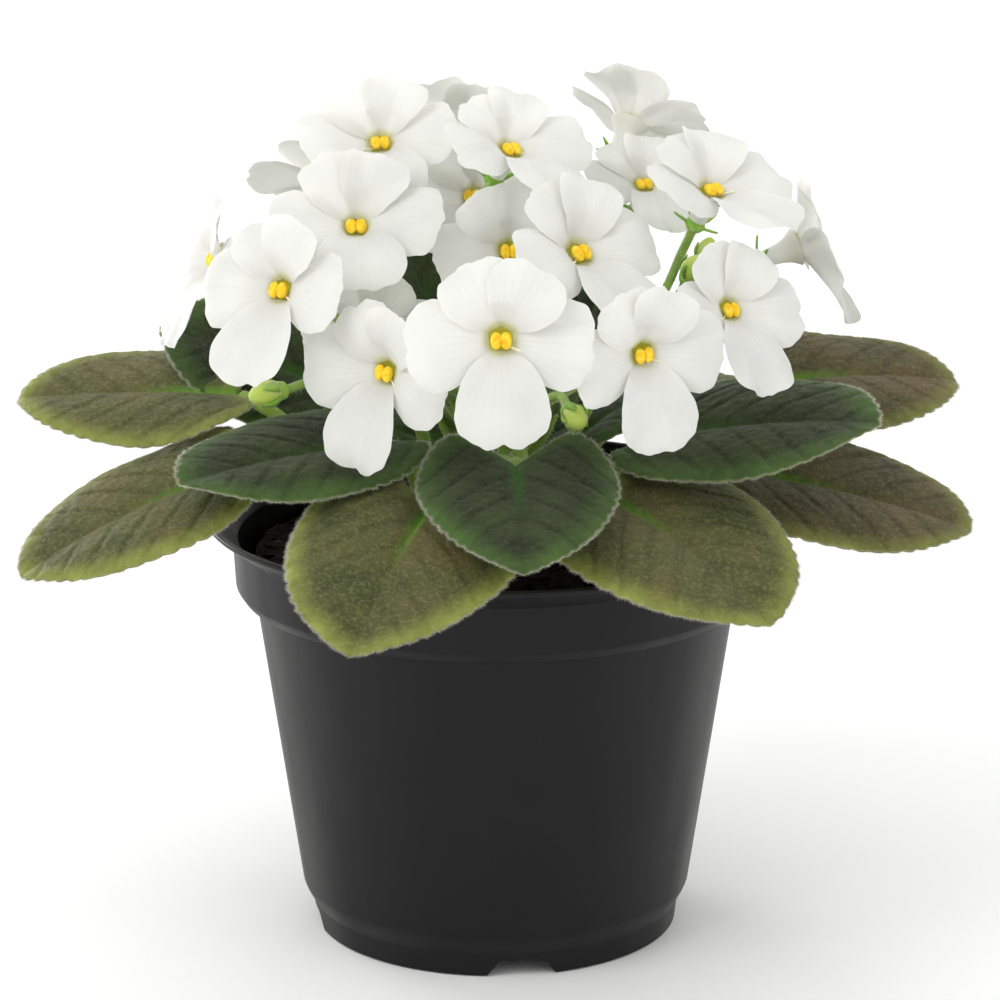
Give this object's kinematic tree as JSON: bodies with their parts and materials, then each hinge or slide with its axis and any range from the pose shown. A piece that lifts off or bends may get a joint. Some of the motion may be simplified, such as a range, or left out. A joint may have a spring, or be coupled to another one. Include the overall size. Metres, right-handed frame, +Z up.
{
  "type": "potted african violet",
  "caption": "Flowering houseplant with white blooms over a rosette of hairy scalloped leaves, in a round black nursery pot.",
  "frame": {"origin": "centre of the pot's foot on the floor", "axes": "+Z up along the pot's axis, -Y towards the viewer of the picture, +X to the viewer's right"},
  "size_m": [0.1965, 0.1734, 0.1788],
  "materials": {
    "pot_plastic": "moulded black polypropylene, satin with fine flow marks",
    "soil": "damp dark peat with bark and fibre, matt and crumbly",
    "stem_green": "fresh light green, softly hairy",
    "leaf_dark": "dark green, pebbled between the veins, with short pale hairs",
    "leaf_olive": "olive bronze with a yellow-green rim, pebbled, with short pale hairs",
    "petal_white": "white, thin and softly translucent, with a faint sparkle",
    "anther_yellow": "bright yellow, powdery"
  },
  "bodies": {
    "root": {"anthers_far_left": "anther_yellow", "anthers_far_right": "anther_yellow", "anthers_front_left": "anther_yellow", "anthers_front_middle": "anther_yellow", "anthers_front_right": "anther_yellow", "anthers_left": "anther_yellow", "anthers_low_left_deep": "anther_yellow", "anthers_middle": "anther_yellow", "anthers_middle_deep": "anther_yellow", "anthers_middle_right": "anther_yellow", "anthers_right": "anther_yellow", "anthers_top_back": "anther_yellow", "anthers_top_left": "anther_yellow", "anthers_top_middle": "anther_yellow", "anthers_top_right_back": "anther_yellow", "anthers_upper_left": "anther_yellow", "anthers_upper_left_back": "anther_yellow", "anthers_upper_right": "anther_yellow", "anthers_upper_right_deep": "anther_yellow", "crown": "stem_green", "leaf_front_left": "leaf_olive", "leaf_front_right": "leaf_olive", "leaf_inner_back": "leaf_dark", "leaf_inner_back_left": "leaf_dark", "leaf_inner_front": "leaf_dark", "leaf_inner_left": "leaf_dark", "leaf_inner_right": "leaf_dark", "leaf_outer_back": "leaf_olive", "leaf_outer_back_far_left": "leaf_olive", "leaf_outer_back_far_right": "leaf_olive", "leaf_outer_back_right": "leaf_olive", "leaf_outer_front_left": "leaf_olive", "leaf_outer_left": "leaf_olive", "leaf_outer_right": "leaf_olive", "petals_far_left": "petal_white", "petals_far_right": "petal_white", "petals_front_left": "petal_white", "petals_front_middle": "petal_white", "petals_front_right": "petal_white", "petals_left": "petal_white", "petals_low_left_deep": "petal_white", "petals_middle": "petal_white", "petals_middle_deep": "petal_white", "petals_middle_right": "petal_white", "petals_right": "petal_white", "petals_top_back": "petal_white", "petals_top_left": "petal_white", "petals_top_middle": "petal_white", "petals_top_right_back": "petal_white", "petals_upper_left": "petal_white", "petals_upper_left_back": "petal_white", "petals_upper_right": "petal_white", "petals_upper_right_deep": "petal_white", "pot": "pot_plastic", "soil": "soil", "stalk_back": "stem_green", "stalk_front": "stem_green", "stalk_left": "stem_green", "stalk_middle": "stem_green", "stalk_right": "stem_green"}
  },
  "joints": []
}
